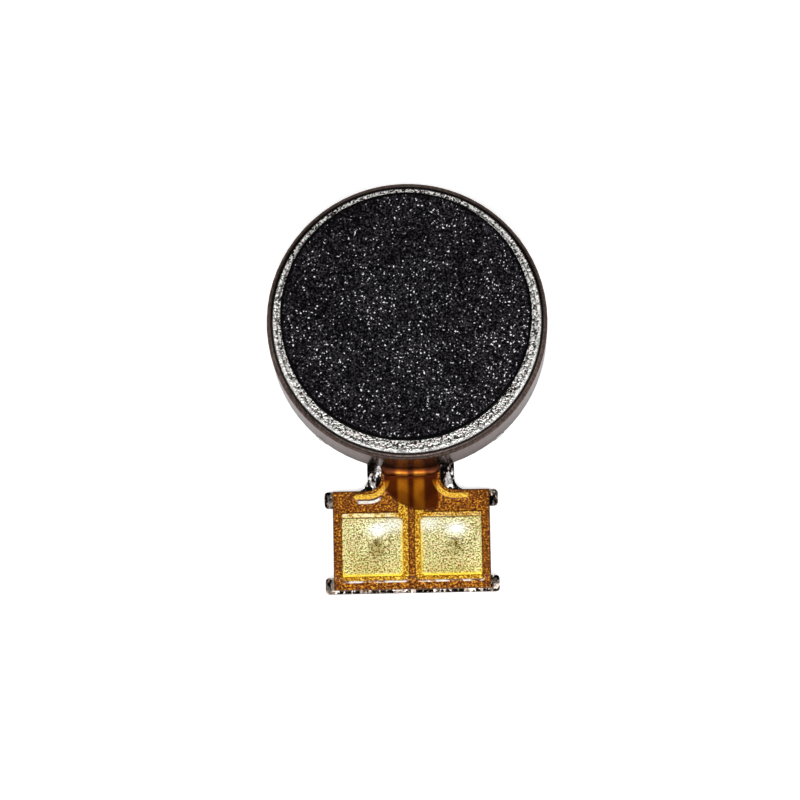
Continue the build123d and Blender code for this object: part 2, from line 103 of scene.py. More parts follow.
def sd_polygon(x, y, points):
    best = np.full(x.shape, 1e9)
    inside = np.zeros(x.shape, bool)
    for (ax, ay), (bx, by) in zip(points, points[1:] + points[:1]):
        best = np.minimum(best, sd_capsule(x, y, (ax, ay), (bx, by), 0.0))
        cross = (ay > y) != (by > y)
        reach = ax + (y - ay) * (bx - ax) / (by - ay if by != ay else 1e-9)
        inside ^= cross & (x < reach)
    return np.where(inside, -best, best)


def union_round(a, b, radius):
    """Union of two shapes with a concave fillet where their edges cross."""
    u, v = np.maximum(radius - a, 0), np.maximum(radius - b, 0)
    return np.maximum(radius, np.minimum(a, b)) - np.hypot(u, v)


def sd_flex(x, y):
    neck = sd_box(x, y, (-NECK_HALF, NECK_HALF), (TAIL_TOP - 1, 0))
    tail = sd_box(x, y, (-TAIL_HALF, TAIL_HALF), (TAIL_END, TAIL_TOP), 0.03)
    outline = np.minimum(union_round(neck, tail, FLEX_CORNER), sd_disc(x, y, FLEX_RADIUS))
    return np.maximum(outline, -sd_disc(x, y, FLEX_BORE))


def sd_pads(x, y):
    inner = sd_box(np.abs(x), y, (PAD_IN, PAD_OUT), (PAD_FAR, PAD_NEAR), PAD_CORNER)
    outer = sd_box(np.abs(x), y, (PAD_IN, PAD_OUT), (PAD_FAR, PAD_NEAR), PAD_OUTER_CORNER)
    return np.where(np.abs(x) > PAD_MIDDLE, outer, inner)


def sd_lands(x, y):
    """Copper under the coverlay: the border of each pad and the two traces."""
    ax = np.abs(x)
    land = sd_box(ax, y, (TRACE_IN, LAND_OUT), (LAND_FAR, LAND_NEAR), PAD_CORNER)
    square = sd_box(ax, y, (1.0, LAND_OUT), (LAND_FAR, LAND_NEAR), 0.03)
    track = sd_box(ax, y, (TRACE_IN, TRACE_OUT), (-7.5, -1.5))
    return np.minimum(np.minimum(land, square), track)


def sd_guards(x, y):
    ax = np.abs(x)
    cx, cy = NECK_HALF + FLEX_CORNER, TAIL_TOP + FLEX_CORNER
    bend = np.abs(sd_disc(ax, y, GUARD_RADIUS, cx, cy)) - GUARD_HALF
    bend = np.where((ax < cx) & (y < cy), bend, 1e3)
    tail_leg = sd_capsule(ax, y, (cx, cy - GUARD_RADIUS), (cx + GUARD_LEG, cy - GUARD_RADIUS), GUARD_HALF)
    neck_leg = sd_capsule(ax, y, (cx - GUARD_RADIUS, cy), (cx - GUARD_RADIUS, cy + 0.05), GUARD_HALF)
    return np.minimum(np.minimum(bend, tail_leg), neck_leg)


def sd_unglued(x, y):
    """The part of the neck where the circuit isn't pressed onto the steel and stays smooth."""
    corners = [(-0.92, -4.9), (-0.9, -5.72), (-0.5, -6.05), (-0.1, -6.3), (0.15, -6.4), (0.85, -6.4),
               (0.95, -6.1), (0.9, -5.6), (0.9, -4.9)]
    return sd_polygon(x, y, corners) - 0.06


def smooth_step(value, low, high):
    t = np.clip((value - low) / (high - low), 0, 1)
    return t * t * (3 - 2 * t)


# ---- Meshes ----
def new_object(name, verts, faces, material, body, smooth=True):
    """Mesh object from points in millimetres, riding on a body."""
    mesh = bpy.data.meshes.new(name)
    mesh.from_pydata([tuple(v) for v in np.asarray(verts) * MM], [], faces)
    mesh.validate()
    mesh.update()
    if smooth:
        mesh.shade_smooth()
    obj = bpy.data.objects.new(name, mesh)
    bpy.context.scene.collection.objects.link(obj)
    obj.data.materials.append(material)
    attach(obj, body)
    return obj


def sheet_plan(distance, x_range, y_range, step):
    """Grid over the inside of a plan outline, with its rim moved onto the outline.

    Returns the points, the quads, and the rim's edges in the quads' own winding."""
    xs = np.arange(x_range[0] - step, x_range[1] + 1.5 * step, step)
    ys = np.arange(y_range[0] - step, y_range[1] + 1.5 * step, step)
    gx, gy = np.meshgrid(xs, ys)
    d = distance(gx, gy)
    near = d < 0.5 * step
    cell = near[:-1, :-1] & near[1:, :-1] & near[:-1, 1:] & near[1:, 1:]
    index = np.arange(gx.size).reshape(gx.shape)
    quads = np.stack([index[:-1, :-1], index[:-1, 1:], index[1:, 1:], index[1:, :-1]], -1)[cell]
    used, flat = np.unique(quads, return_inverse=True)
    quads = flat.reshape(-1, 4)
    x, y = gx.ravel()[used], gy.ravel()[used]
    edges = {}
    for quad in quads.tolist():
        for a, b in zip(quad, quad[1:] + quad[:1]):
            if (b, a) in edges:
                del edges[(b, a)]
            else:
                edges[(a, b)] = True
    rim = np.unique(np.array(list(edges)).ravel())
    e = step * 0.05
    for _ in range(4):
        rx, ry = x[rim], y[rim]
        value = distance(rx, ry)
        dx = (distance(rx + e, ry) - distance(rx - e, ry)) / (2 * e)
        dy = (distance(rx, ry + e) - distance(rx, ry - e)) / (2 * e)
        size = np.maximum(dx * dx + dy * dy, 0.25)
        x[rim], y[rim] = rx - value * dx / size, ry - value * dy / size
    return x, y, quads, list(edges)


def sheet(name, distance, x_range, y_range, step, top, low, material, node):
    """Closed sheet with a modelled top, over the inside of a plan outline."""
    x, y, quads, rim = sheet_plan(distance, x_range, y_range, step)
    n = len(x)
    upper = np.stack([x, y, top(x, y)], 1)
    lower = np.stack([x, y, np.full(n, low)], 1)
    faces = quads.tolist() + [[q[3] + n, q[2] + n, q[1] + n, q[0] + n] for q in quads.tolist()]
    faces += [[b, a, a + n, b + n] for a, b in rim]
    obj = new_object(name, np.vstack([upper, lower]), faces, material, "housing")
    obj.data.set_sharp_from_angle(angle=math.radians(50))
    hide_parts(node)
    return obj


def add_value(obj, name, values):
    """Stores one number per point for the material to read."""
    layer = obj.data.attributes.new(name, "FLOAT", "POINT")
    layer.data.foreach_set("value", np.asarray(values, np.float32))


def points_mm(obj):
    co = np.empty(len(obj.data.vertices) * 3, np.float32)
    obj.data.vertices.foreach_get("co", co)
    return co.reshape(-1, 3) / MM


# ---- Material building ----
class Nodes:
    """Short calls for building one material's nodes. Positions reach it in millimetres."""

    def __init__(self, name):
        self.material = bpy.data.materials.new(name)
        self.material.use_nodes = True
        self.tree = self.material.node_tree
        self.shader = self.tree.nodes["Principled BSDF"]
        self._place = None

    def add(self, kind, **sockets):
        """New node. Lower-case names are its settings, others its sockets."""
        node = self.tree.nodes.new(kind)
        for key, value in sockets.items():
            if key[0].islower():
                setattr(node, key, value)
            else:
                self.put(node, key.replace("_", " "), value)
        return node

    def put(self, node, socket, value):
        """Links or sets a socket, given by its name or by I and its number."""
        numbered = socket[0] == "I" and socket[1:].isdigit()
        target = node.inputs[int(socket[1:]) if numbered else socket]
        if isinstance(value, bpy.types.NodeSocket):
            self.tree.links.new(value, target)
        elif isinstance(value, (tuple, list)) and len(value) == 3 and target.type == "RGBA":
            target.default_value = (*value, 1.0)
        else:
            target.default_value = value

    @property
    def place(self):
        if self._place is None:
            coords = self.add("ShaderNodeTexCoord")
            scaled = self.add("ShaderNodeVectorMath", operation="SCALE", Scale=1 / MM)
            self.tree.links.new(coords.outputs["Object"], scaled.inputs[0])
            self._place = scaled.outputs[0]
        return self._place

    def axes(self):
        return self.add("ShaderNodeSeparateXYZ", Vector=self.place).outputs

    def radius(self, centre=(0.0, 0.0)):
        """Distance from an upright axis."""
        squares = []
        for value, middle in zip(self.axes(), centre):
            away = self.math("SUBTRACT", value, middle)
            squares.append(self.math("MULTIPLY", away, away))
        return self.math("SQRT", self.math("ADD", *squares))

    def math(self, operation, a, b=0.0, clamp=False):
        node = self.add("ShaderNodeMath", operation=operation, use_clamp=clamp)
        self.put(node, "I0", a)
        self.put(node, "I1", b)
        return node.outputs[0]

    def product(self, *factors):
        result = factors[0]
        for factor in factors[1:]:
            result = self.math("MULTIPLY", result, factor)
        return result

    def blend(self, a, b, share):
        """A share of a, and b for the rest."""
        return self.math("ADD", self.product(a, share), self.product(b, 1 - share))

    def noise(self, size, detail=2.0, rough=0.5, stretch=(1, 1, 1), offset=(0, 0, 0)):
        """Noise whose blobs are about size millimetres across."""
        mapped = self.add("ShaderNodeMapping", Vector=self.place, Scale=stretch, Location=offset)
        node = self.add("ShaderNodeTexNoise", Vector=mapped.outputs[0], Scale=0.6 / size, Detail=detail,
                        Roughness=rough)
        return node.outputs["Fac"]

    def squiggle(self, size, width, offset=(0, 0, 0)):
        """0 along thin wandering lines, 1 away from them."""
        away = self.math("ABSOLUTE", self.math("SUBTRACT", self.noise(size, 1.0, 0.5, offset=offset), 0.5))
        return self.span(away, 0.0, width)

    def span(self, value, low, high, to_low=0.0, to_high=1.0, smooth=False):
        """Turns low..high into to_low..to_high, held level beyond both ends."""
        kind = "SMOOTHSTEP" if smooth else "LINEAR"
        node = self.add("ShaderNodeMapRange", Value=value, interpolation_type=kind)
        for key, number in zip(("From Min", "From Max", "To Min", "To Max"), (low, high, to_low, to_high)):
            self.put(node, key, number)
        return node.outputs[0]

    def band(self, value, start, full, fade, end, smooth=False):
        """0 up to start, 1 from full to fade, and 0 again from end."""
        rise, fall = self.span(value, start, full, smooth=smooth), self.span(value, end, fade, smooth=smooth)
        return self.product(rise, fall)

    def mix(self, factor, a, b, blend="MIX"):
        node = self.add("ShaderNodeMix", data_type="RGBA", blend_type=blend)
        self.put(node, "I0", factor)
        self.put(node, "I6", (*a, 1.0) if isinstance(a, tuple) else a)
        self.put(node, "I7", (*b, 1.0) if isinstance(b, tuple) else b)
        return node.outputs[2]

    def tinted(self, color, tint, factor=1.0):
        return self.mix(factor, color, tint, "MULTIPLY")

    def ramp(self, value, *stops):
        node = self.add("ShaderNodeValToRGB", Fac=value)
        ramp = node.color_ramp
        while len(ramp.elements) < len(stops):
            ramp.elements.new(0.5)
        for element, (position, color) in zip(ramp.elements, stops):
            element.position = position
            element.color = (*color, 1.0)
        return node.outputs["Color"]

    def stored(self, name):
        return self.add("ShaderNodeAttribute", attribute_name=name).outputs["Fac"]

    def bump(self, *layers):
        """Stacks (height, depth in millimetres) layers into one normal."""
        normal = None
        for height, depth in layers:
            node = self.add("ShaderNodeBump", Height=height, Distance=depth * MM, Strength=1.0)
            if normal is not None:
                self.put(node, "Normal", normal)
            normal = node.outputs[0]
        return normal

    def finish(self, **sockets):
        for key, value in sockets.items():
            self.put(self.shader, key.replace("_", " "), value)
        return self.material


def plain(name, color, roughness, metallic=0.0, grain=0.08, depth=0.003, vary=0.15, **extra):
    """Material with grain, uneven colour and uneven polish of one kind."""
    n = Nodes(name)
    fine, broad = n.noise(grain, 3.0), n.noise(grain * 8, 2.0, offset=(3, 5, 7))
    dark = tuple(c * (1 - vary) for c in color)
    light = tuple(min(1.0, c * (1 + vary)) for c in color)
    blend = n.blend(fine, broad, 0.6)
    shade = n.ramp(blend, (0.35, dark), (0.65, light))
    rough = n.span(blend, 0.35, 0.65, roughness * 0.8, min(1.0, roughness * 1.2))
    normal = n.bump((fine, depth))
    return n.finish(Base_Color=shade, Roughness=rough, Metallic=metallic, Normal=normal, **extra)


# ---- Steel ----
def blasted_ring(n, radius, mixed, streaks):
    """Grainy flat round the foam, with a painted dark reflection line near its outer edge."""
    grains = n.ramp(mixed, (0.42, (0.02, 0.018, 0.017)), (0.475, (0.34, 0.325, 0.315)),
                    (0.52, (0.88, 0.87, 0.85)))
    tints = n.noise(0.09, 1.0, 0.5, offset=(1, 8, 3))
    ring = n.tinted(grains, n.mix(n.span(tints, 0.42, 0.58), (1.0, 0.93, 0.95), (0.95, 1.0, 0.94)))
    # Painted dark reflection: a thin dark line in the ring near its outer edge.
    line = n.product(n.band(radius, 4.58, 4.61, 4.635, 4.66), n.span(streaks, 0.42, 0.55, 0.2, 0.9))
    return n.mix(line, ring, (0.10, 0.09, 0.09))


def drawn_wall(n, radius, z, streaks, side):
    """Drawn wall with small scuffs low down; its grey is painted darker than the top as a dim reflection, and
    the corner above it is painted dark brown, near black where it leaves the flat top, as a painted dark
    reflection.
    """
    # Painted reflection: the wall's grey is kept dark to stand in for the dim surroundings it mirrors.
    wall = n.ramp(streaks, (0.38, (0.28, 0.255, 0.25)), (0.62, (0.345, 0.32, 0.315)))
    # Painted dark reflection on the corner: brown, and near black where it leaves the flat top.
    corner = n.mix(n.span(streaks, 0.4, 0.6), (0.075, 0.055, 0.047), (0.13, 0.096, 0.084))
    corner = n.mix(n.span(radius, RING_EDGE + 0.06, RING_EDGE + 0.10), (0.010, 0.008, 0.007), corner)
    marks = n.noise(0.22, 1.0, 0.5, stretch=(1, 1, 3), offset=(4, 4, 1))
    scuffs = n.product(n.span(marks, 0.63, 0.66), n.span(z, 1.0, 0.7), 0.7)
    return n.mix(n.product(scuffs, side), n.mix(side, corner, wall), (0.04, 0.034, 0.032))


def can_steel():
    """Blasted top, darkened corner and drawn wall, told apart by height and distance from the axis. The
    corner's darkness, the wall's grey and its darker foot are painted reflection and shade, and the light
    line near the top's edge is a painted highlight.
    """
    n = Nodes("can_steel_blasted")
    _, y, z = n.axes()
    radius = n.radius()
    mixed = n.blend(n.noise(0.042, 1.0, 0.6), n.noise(0.13, 2.0, 0.5, offset=(9, 2, 4)), 0.75)
    streaks = n.noise(0.06, 2.0, 0.5, stretch=(1, 1, 0.04))
    edge = n.span(radius, RING_EDGE - 0.035, RING_EDGE)
    wall_top = CASE_HEIGHT - CASE_CORNER
    side = n.span(z, wall_top + 0.02, wall_top - 0.10)
    color = n.mix(edge, blasted_ring(n, radius, mixed, streaks), drawn_wall(n, radius, z, streaks, side))
    # Painted highlight: a light line near the top's outer edge, stronger towards the front.
    crest_highlight = n.product(n.span(radius, 4.66, 4.69), n.span(edge, 1, 0), n.span(y, 2.0, -2.0, 0.0, 0.5))
    color = n.mix(crest_highlight, color, (0.95, 0.94, 0.92))
    # Painted shade: the wall's grazing reflection is tinted darker towards the bottom, where it would mirror
    # the white floor.
    low_wall_shade = n.mix(n.span(z, 0.4, 1.7), (0.19, 0.168, 0.165), (0.285, 0.25, 0.243))
    normal = n.bump((n.product(mixed, n.span(edge, 0, 1, 1.0, 0.05)), 0.055))
    return n.finish(Base_Color=color, Roughness=n.span(side, 0, 1, 0.38, 0.2), Metallic=1.0, Normal=normal,
                    Specular_Tint=low_wall_shade)


def plate_steel():
    """Rolled steel, with painted reflections where the neck and tail show it: a black-and-white ripple on the
    faces, the ears painted darker and browner as shade, and the sides painted dark as shade.
    """
    n = Nodes("plate_steel_pressed")
    x, y, z = n.axes()
    rolled = n.noise(0.06, 2.0, 0.55, stretch=(1, 0.5, 1))
    waves = n.noise(0.17, 1.0, 0.5, stretch=(1, 0.6, 1), offset=(2, 3, 7))
    normal = n.add("ShaderNodeNewGeometry").outputs["Normal"]
    facing = n.add("ShaderNodeSeparateXYZ", Vector=normal).outputs[2]
    flat = n.span(n.math("ABSOLUTE", facing), 0.55, 0.95)
    beyond_can = n.span(y, NECK_START, NECK_START - 0.2)
    steel = n.ramp(rolled, (0.38, (0.42, 0.41, 0.40)), (0.62, (0.62, 0.61, 0.60)))
    # Painted reflection: black and white ripples on the neck's and tail's faces.
    ripple_reflections = n.ramp(n.blend(rolled, waves, 0.45), (0.475, (0.006, 0.005, 0.004)),
                     (0.50, (0.10, 0.085, 0.08)), (0.53, (0.6, 0.58, 0.56)), (0.56, (1.0, 1.0, 0.98)))
    shade = n.mix(n.product(beyond_can, n.span(z, 0.08, 0.12)), steel, ripple_reflections)
    # Painted shade: the ears darker and browner.
    ears = n.product(beyond_can, n.span(n.math("ABSOLUTE", x), TAIL_HALF, TAIL_HALF + 0.04))
    shade = n.mix(ears, shade, n.tinted(shade, (0.50, 0.42, 0.37)))
    # Painted shade: faces turned away from upright, the sides and rounded edges, are painted dark.
    painted_dark_sides = n.ramp(rolled, (0.42, (0.02, 0.016, 0.014)), (0.58, (0.10, 0.088, 0.082)))
    shade = n.mix(flat, painted_dark_sides, shade)
    shade = n.mix(n.span(y, TAIL_END, TAIL_END - 0.03), shade, n.tinted(shade, (0.95, 0.82, 0.74)))
    pressed = n.product(beyond_can, n.span(z, 0.005, 0.03))
    dents = n.product(n.math("SUBTRACT", waves, 0.5), pressed)
    scratches = n.product(n.math("SUBTRACT", rolled, 0.5), n.span(pressed, 0, 1, 0.12, 1.0))
    return n.finish(Base_Color=shade, Roughness=n.span(flat, 0, 1, 0.14, 0.3), Metallic=1.0,
                    Normal=n.bump((dents, 0.15), (scratches, 0.03)), Specular_Tint=(0.4, 0.38, 0.37))


# ---- The circuit's amber film ----
def film_amber(n, x, y, speck):
    """Film glued to steel: mottled, and calmer in the tail's upper corners and along its sides."""
    calm = n.ramp(speck, (0.42, (0.10, 0.021, 0.001)), (0.50, (0.155, 0.040, 0.001)),
                  (0.57, (0.20, 0.056, 0.002)), (0.62, (0.65, 0.28, 0.03)))
    busy = n.ramp(speck, (0.40, (0.07, 0.014, 0.0008)), (0.48, (0.20, 0.055, 0.002)),
                  (0.54, (0.34, 0.10, 0.003)), (0.60, (0.76, 0.32, 0.025)))
    away = n.math("ABSOLUTE", x)
    still = n.product(n.span(y, TAIL_TOP - 0.5, TAIL_TOP - 0.2), n.span(away, 1.5, 1.8))
    still = n.math("MAXIMUM", still, n.span(away, PAD_OUT + 0.12, PAD_OUT + 0.18))
    broad = n.span(n.noise(0.5, 1.0, 0.5, offset=(0, 7, 3)), 0.42, 0.58, -0.1, 0.35)
    return n.mix(n.math("ADD", n.product(still, 0.6), broad, clamp=True), busy, calm)


def film_loose(n, y, copper, soft, warm):
    """Smooth film over the loose neck: dark, and warm over the two traces, with painted light on the traces'
    upper ends and a painted shadow of the bead just under it.
    """
    dark = n.ramp(soft, (0.4, (0.13, 0.018, 0.0)), (0.6, (0.20, 0.034, 0.0)))
    # Painted light and shadow: the traces are lit most near their tops, less further down, and cut to dark by
    # the bead's painted shadow at its foot.
    fade = n.product(n.span(y, TAIL_TOP - 0.6, TAIL_TOP + 0.2, 0.45, 1.0),
                     n.span(y, TAIL_TOP + 0.47, TAIL_TOP + 0.33, 0.0, 1.0))
    return n.mix(n.product(n.span(copper, 0.09, -0.07, smooth=True), fade), dark, warm)


def film_crown_highlight(n, x, y, copper):
    """Painted highlight patches along the pads' upper border, strongest on the left."""
    patches = n.span(n.noise(0.11, 2.0, 0.6, offset=(8, 1, 1)), 0.42, 0.54)
    place = n.product(n.span(copper, 0.0, -0.03), n.span(y, PAD_NEAR - 0.01, PAD_NEAR + 0.03))
    outer, leftward = n.span(n.math("ABSOLUTE", x), 0.5, 0.6), n.span(x, 0.6, -0.6, 0.15, 0.85)
    return n.product(place, outer, leftward, patches)


def film_glints(n, x, y, copper, guard):
    """Painted glare along the film's steps: dashes of highlight behind the pads and an arc by the left guard,
    with a painted dark line of shade along the guard's edge, inside the arc.
    """
    dashes = n.span(n.noise(0.16, 1.0, stretch=(0.5, 1, 1), offset=(2, 0, 5)), 0.45, 0.52)
    behind = n.product(n.band(copper, 0.01, 0.025, 0.07, 0.085), n.span(y, LAND_FAR + 0.02, LAND_FAR - 0.02))
    beyond = n.product(n.band(x, -1.94, -1.86, -1.20, -1.05), n.span(n.stored("inward"), 0.0, 0.02))
    arc = n.product(n.band(guard, 0.055, 0.07, 0.15, 0.17), beyond)
    shade_line = n.product(n.band(guard, -0.01, 0.01, 0.04, 0.06), beyond)
    return n.math("MAXIMUM", n.product(behind, 0.75, dashes), arc), shade_line


def coverlay_film():
    """Amber film over steel and copper: gold over copper, smooth and dark where it isn't glued down."""
    n = Nodes("coverlay_amber")
    x, y, _ = n.axes()
    copper, guard, bare = n.stored("copper"), n.stored("guard"), n.span(n.stored("unglued"), 0.03, -0.03)
    speck = n.blend(n.noise(0.045, 2.0, 0.65), n.noise(0.12, 2.0, 0.5, offset=(4, 1, 0)), 0.85)
    gold = n.ramp(speck, (0.39, (0.20, 0.065, 0.001)), (0.47, (0.46, 0.19, 0.004)),
                  (0.53, (0.66, 0.32, 0.012)), (0.60, (1.0, 0.70, 0.09)))
    soft = n.noise(0.3, 0.0, offset=(6, 2, 2))
    warm = n.ramp(soft, (0.4, (0.66, 0.19, 0.004)), (0.6, (0.90, 0.29, 0.010)))
    color = n.mix(n.span(copper, 0.012, -0.012), film_amber(n, x, y, speck), gold)
    color = n.mix(bare, color, film_loose(n, y, copper, soft, warm))
    strip = n.product(n.span(guard, 0.012, -0.012), n.span(y, TAIL_TOP + 0.39, TAIL_TOP + 0.25))
    strip_color = n.mix(0.5, gold, (1.0, 0.60, 0.07))
    strip_color = n.mix(n.span(y, TAIL_TOP + 0.03, TAIL_TOP + 0.25), strip_color, warm)
    color = n.mix(strip, color, strip_color)
    # Painted highlight patches along the pads' upper border.
    color = n.mix(film_crown_highlight(n, x, y, copper), color, (1.0, 0.90, 0.52))
    step = n.product(n.band(copper, -0.01, 0.01, 0.025, 0.05), n.span(bare, 0, 1, 0.75, 0.0))
    color = n.mix(step, color, (0.05, 0.012, 0.001))
    # Painted glare and a painted line of shade, laid over the film's colour.
    glare, shade_line = film_glints(n, x, y, copper, guard)
    color = n.mix(shade_line, color, (0.02, 0.008, 0.002))
    color = n.mix(glare, color, (1.0, 0.95, 0.86))
    color = n.mix(n.span(n.stored("border"), -0.05, -0.01), color, (0.06, 0.018, 0.002))
    texture = n.product(speck, n.span(bare, 0, 1, 1.0, 0.03))
    return n.finish(Base_Color=color, Roughness=n.span(bare, 0, 1, 0.34, 0.24), Metallic=0.8,
                    Normal=n.bump((texture, 0.07)), Coat_Weight=0.2, Coat_Roughness=0.08, Coat_IOR=1.5)


# ---- Other materials of the outside ----
def gold_rim(n, x, y, border, shade):
    """Yellow plating along the pad's edges, heaviest at its end, and a painted shadow line at its top edge,
    where the coverlay's edge shades it.
    """
    middle = n.math("SUBTRACT", n.math("ABSOLUTE", x), PAD_MIDDLE)
    weight = n.math("MAXIMUM", n.span(y, PAD_FAR + 0.3, PAD_FAR + 0.1), n.span(middle, -0.6, -0.9, 0.15, 0.7))
    shade = n.mix(n.product(n.span(border, -0.14, -0.03), weight), shade, (0.95, 0.70, 0.06))
    # Painted shadow: a dark line along the pad's top edge.
    top = n.product(n.span(border, -0.045, -0.02), n.span(y, PAD_NEAR - 0.15, PAD_NEAR - 0.1), 0.8)
    return n.mix(top, shade, (0.05, 0.03, 0.005))


def gold_plate():
    """Pale gold with a fine matte grain, yellower where the plating is thick along the pad's edges."""
    n = Nodes("gold_plated_pad")
    x, y, _ = n.axes()
    grain = n.noise(0.036, 2.0, 0.7)
    shade = n.ramp(grain, (0.40, (0.19, 0.15, 0.035)), (0.46, (0.55, 0.46, 0.17)), (0.54, (1.0, 0.93, 0.60)))
    clouds = n.span(n.noise(0.32, 2.0, 0.6, offset=(5, 1, 9)), 0.46, 0.62, 0.0, 0.45)
    shade = n.mix(clouds, shade, n.tinted(shade, (0.74, 0.64, 0.46)))
    tints = n.span(n.noise(0.05, 1.0, 0.5, offset=(7, 7, 1)), 0.42, 0.58)
    shade = n.tinted(shade, n.mix(tints, (1.0, 0.90, 0.86), (0.86, 1.0, 0.78)), 0.9)
    end = n.span(y, PAD_FAR + 1.1, PAD_FAR + 0.2, 0.0, 0.8)
    shade = n.mix(end, shade, n.tinted(shade, (0.97, 0.90, 0.66)))
    lines = n.span(n.squiggle(0.085, 0.014, offset=(2, 9, 0)), 0, 1, 0.5, 0.0)
    shade = n.mix(lines, shade, (0.20, 0.17, 0.04))
    shade = gold_rim(n, x, y, n.stored("border"), shade)
    # Painted shade and painted highlight round the dent, read from the stored values.
    shade = n.mix(n.stored("painted_shade"), shade, n.tinted(shade, (0.42, 0.32, 0.12)))
    shade = n.mix(n.stored("painted_highlight"), shade, (1.0, 1.0, 0.92))
    return n.finish(Base_Color=shade, Roughness=0.3, Metallic=1.0, Normal=n.bump((grain, 0.035)))


def black_foam():
    """Closed-cell foam: near black, with cut cell walls that catch the light."""
    n = Nodes("foam_black")
    x, y, _ = n.axes()
    fine = n.noise(0.045, 1.0, 0.6)
    second = n.noise(0.038, 0.0, 0.5, offset=(3, 3, 8))
    patch = n.math("SUBTRACT", n.noise(0.9, 2.0, offset=(2, 6, 0)), 0.5)
    lean = n.math("ADD", n.product(x, 0.0025), n.product(y, -0.003))
    lift = n.math("ADD", lean, n.product(patch, 0.14))
    speck = n.math("ADD", n.blend(fine, second, 0.55), lift)
    color = n.ramp(speck, (0.44, (0.0004, 0.0004, 0.0006)), (0.50, (0.0085, 0.0075, 0.0095)),
                   (0.55, (0.018, 0.016, 0.0195)), (0.60, (0.028, 0.026, 0.030)),
                   (0.645, (0.060, 0.058, 0.063)), (0.67, (0.18, 0.18, 0.19)), (0.695, (0.9, 0.9, 0.92)))
    rim = n.span(n.radius(FOAM_CENTRE), FOAM_RADIUS - 0.14, FOAM_RADIUS - 0.07)
    color = n.mix(rim, color, (0.0006, 0.0006, 0.0008))
    return n.finish(Base_Color=color, Roughness=0.7, Normal=n.bump((fine, 0.03)), Specular_IOR_Level=0.03)


def sealant():
    """Clear amber sealant, with a painted highlight band across its middle, strongest over the traces, and
    painted shade at its foot and against the can.
    """
    n = Nodes("sealant_amber")
    x, y, _ = n.axes()
    ripple = n.noise(0.3, 2.0)
    place = n.math("ADD", y, n.span(ripple, 0.4, 0.6, -0.02, 0.02))
    climb = n.span(place, BEAD_FOOT - 0.07, -CASE_RADIUS + 0.02)
    # Painted light: both ramps hold a highlight band across the middle, with painted shade at the foot and
    # against the can; lit is the one over the traces.
    band_off_traces = n.ramp(climb, (0.02, (0.05, 0.010, 0.0005)), (0.22, (0.09, 0.02, 0.001)),
                   (0.40, (0.30, 0.10, 0.006)), (0.58, (0.20, 0.055, 0.002)), (0.80, (0.12, 0.03, 0.001)))
    lit = n.ramp(climb, (0.02, (0.07, 0.016, 0.001)), (0.16, (0.35, 0.11, 0.005)),
                 (0.40, (0.60, 0.26, 0.03)), (0.60, (0.30, 0.08, 0.004)), (0.80, (0.15, 0.036, 0.001)))
    trace = n.band(n.math("ABSOLUTE", x), 0.04, 0.2, 0.40, 0.62, smooth=True)
    shade = n.mix(trace, n.tinted(band_off_traces, (0.40, 0.28, 0.22)), lit)
    return n.finish(Base_Color=shade, Roughness=0.36, Metallic=0.85, Normal=n.bump((ripple, 0.02)))


# ---- Materials of the inside ----
def coil_wire(name, centre):
    """Enamelled wire wound in flat turns about the coil's own axis."""
    n = Nodes(name)
    height = n.axes()[2]
    waves = [n.math("ABSOLUTE", n.math("SINE", n.product(value, math.pi / WIRE_PITCH)))
             for value in (n.radius(centre), height)]
    wire = n.math("MINIMUM", *waves)
    # Painted shade: dark in the grooves where the turns meet, copper on the turns' tops.
    shade = n.mix(n.span(wire, 0.1, 0.7), (0.16, 0.04, 0.01), (0.75, 0.28, 0.09))
    shade = n.mix(n.span(n.noise(0.4, 2.0), 0.4, 0.7, 0.0, 0.3), shade, (0.5, 0.15, 0.04))
    normal = n.bump((wire, 0.02))
    return n.finish(Base_Color=shade, Roughness=0.25, Metallic=0.8, Normal=normal, Coat_Weight=0.5)


def board_laminate():
    """Green laminate with its woven glass just showing."""
    n = Nodes("board_green")
    threads = [n.math("ABSOLUTE", n.math("SINE", n.product(value, 16))) for value in list(n.axes())[:2]]
    weave = n.product(*threads)
    shade = n.mix(n.span(weave, 0.1, 0.9), (0.02, 0.12, 0.04), (0.04, 0.2, 0.07))
    return n.finish(Base_Color=shade, Roughness=0.35, Normal=n.bump((weave, 0.004)))


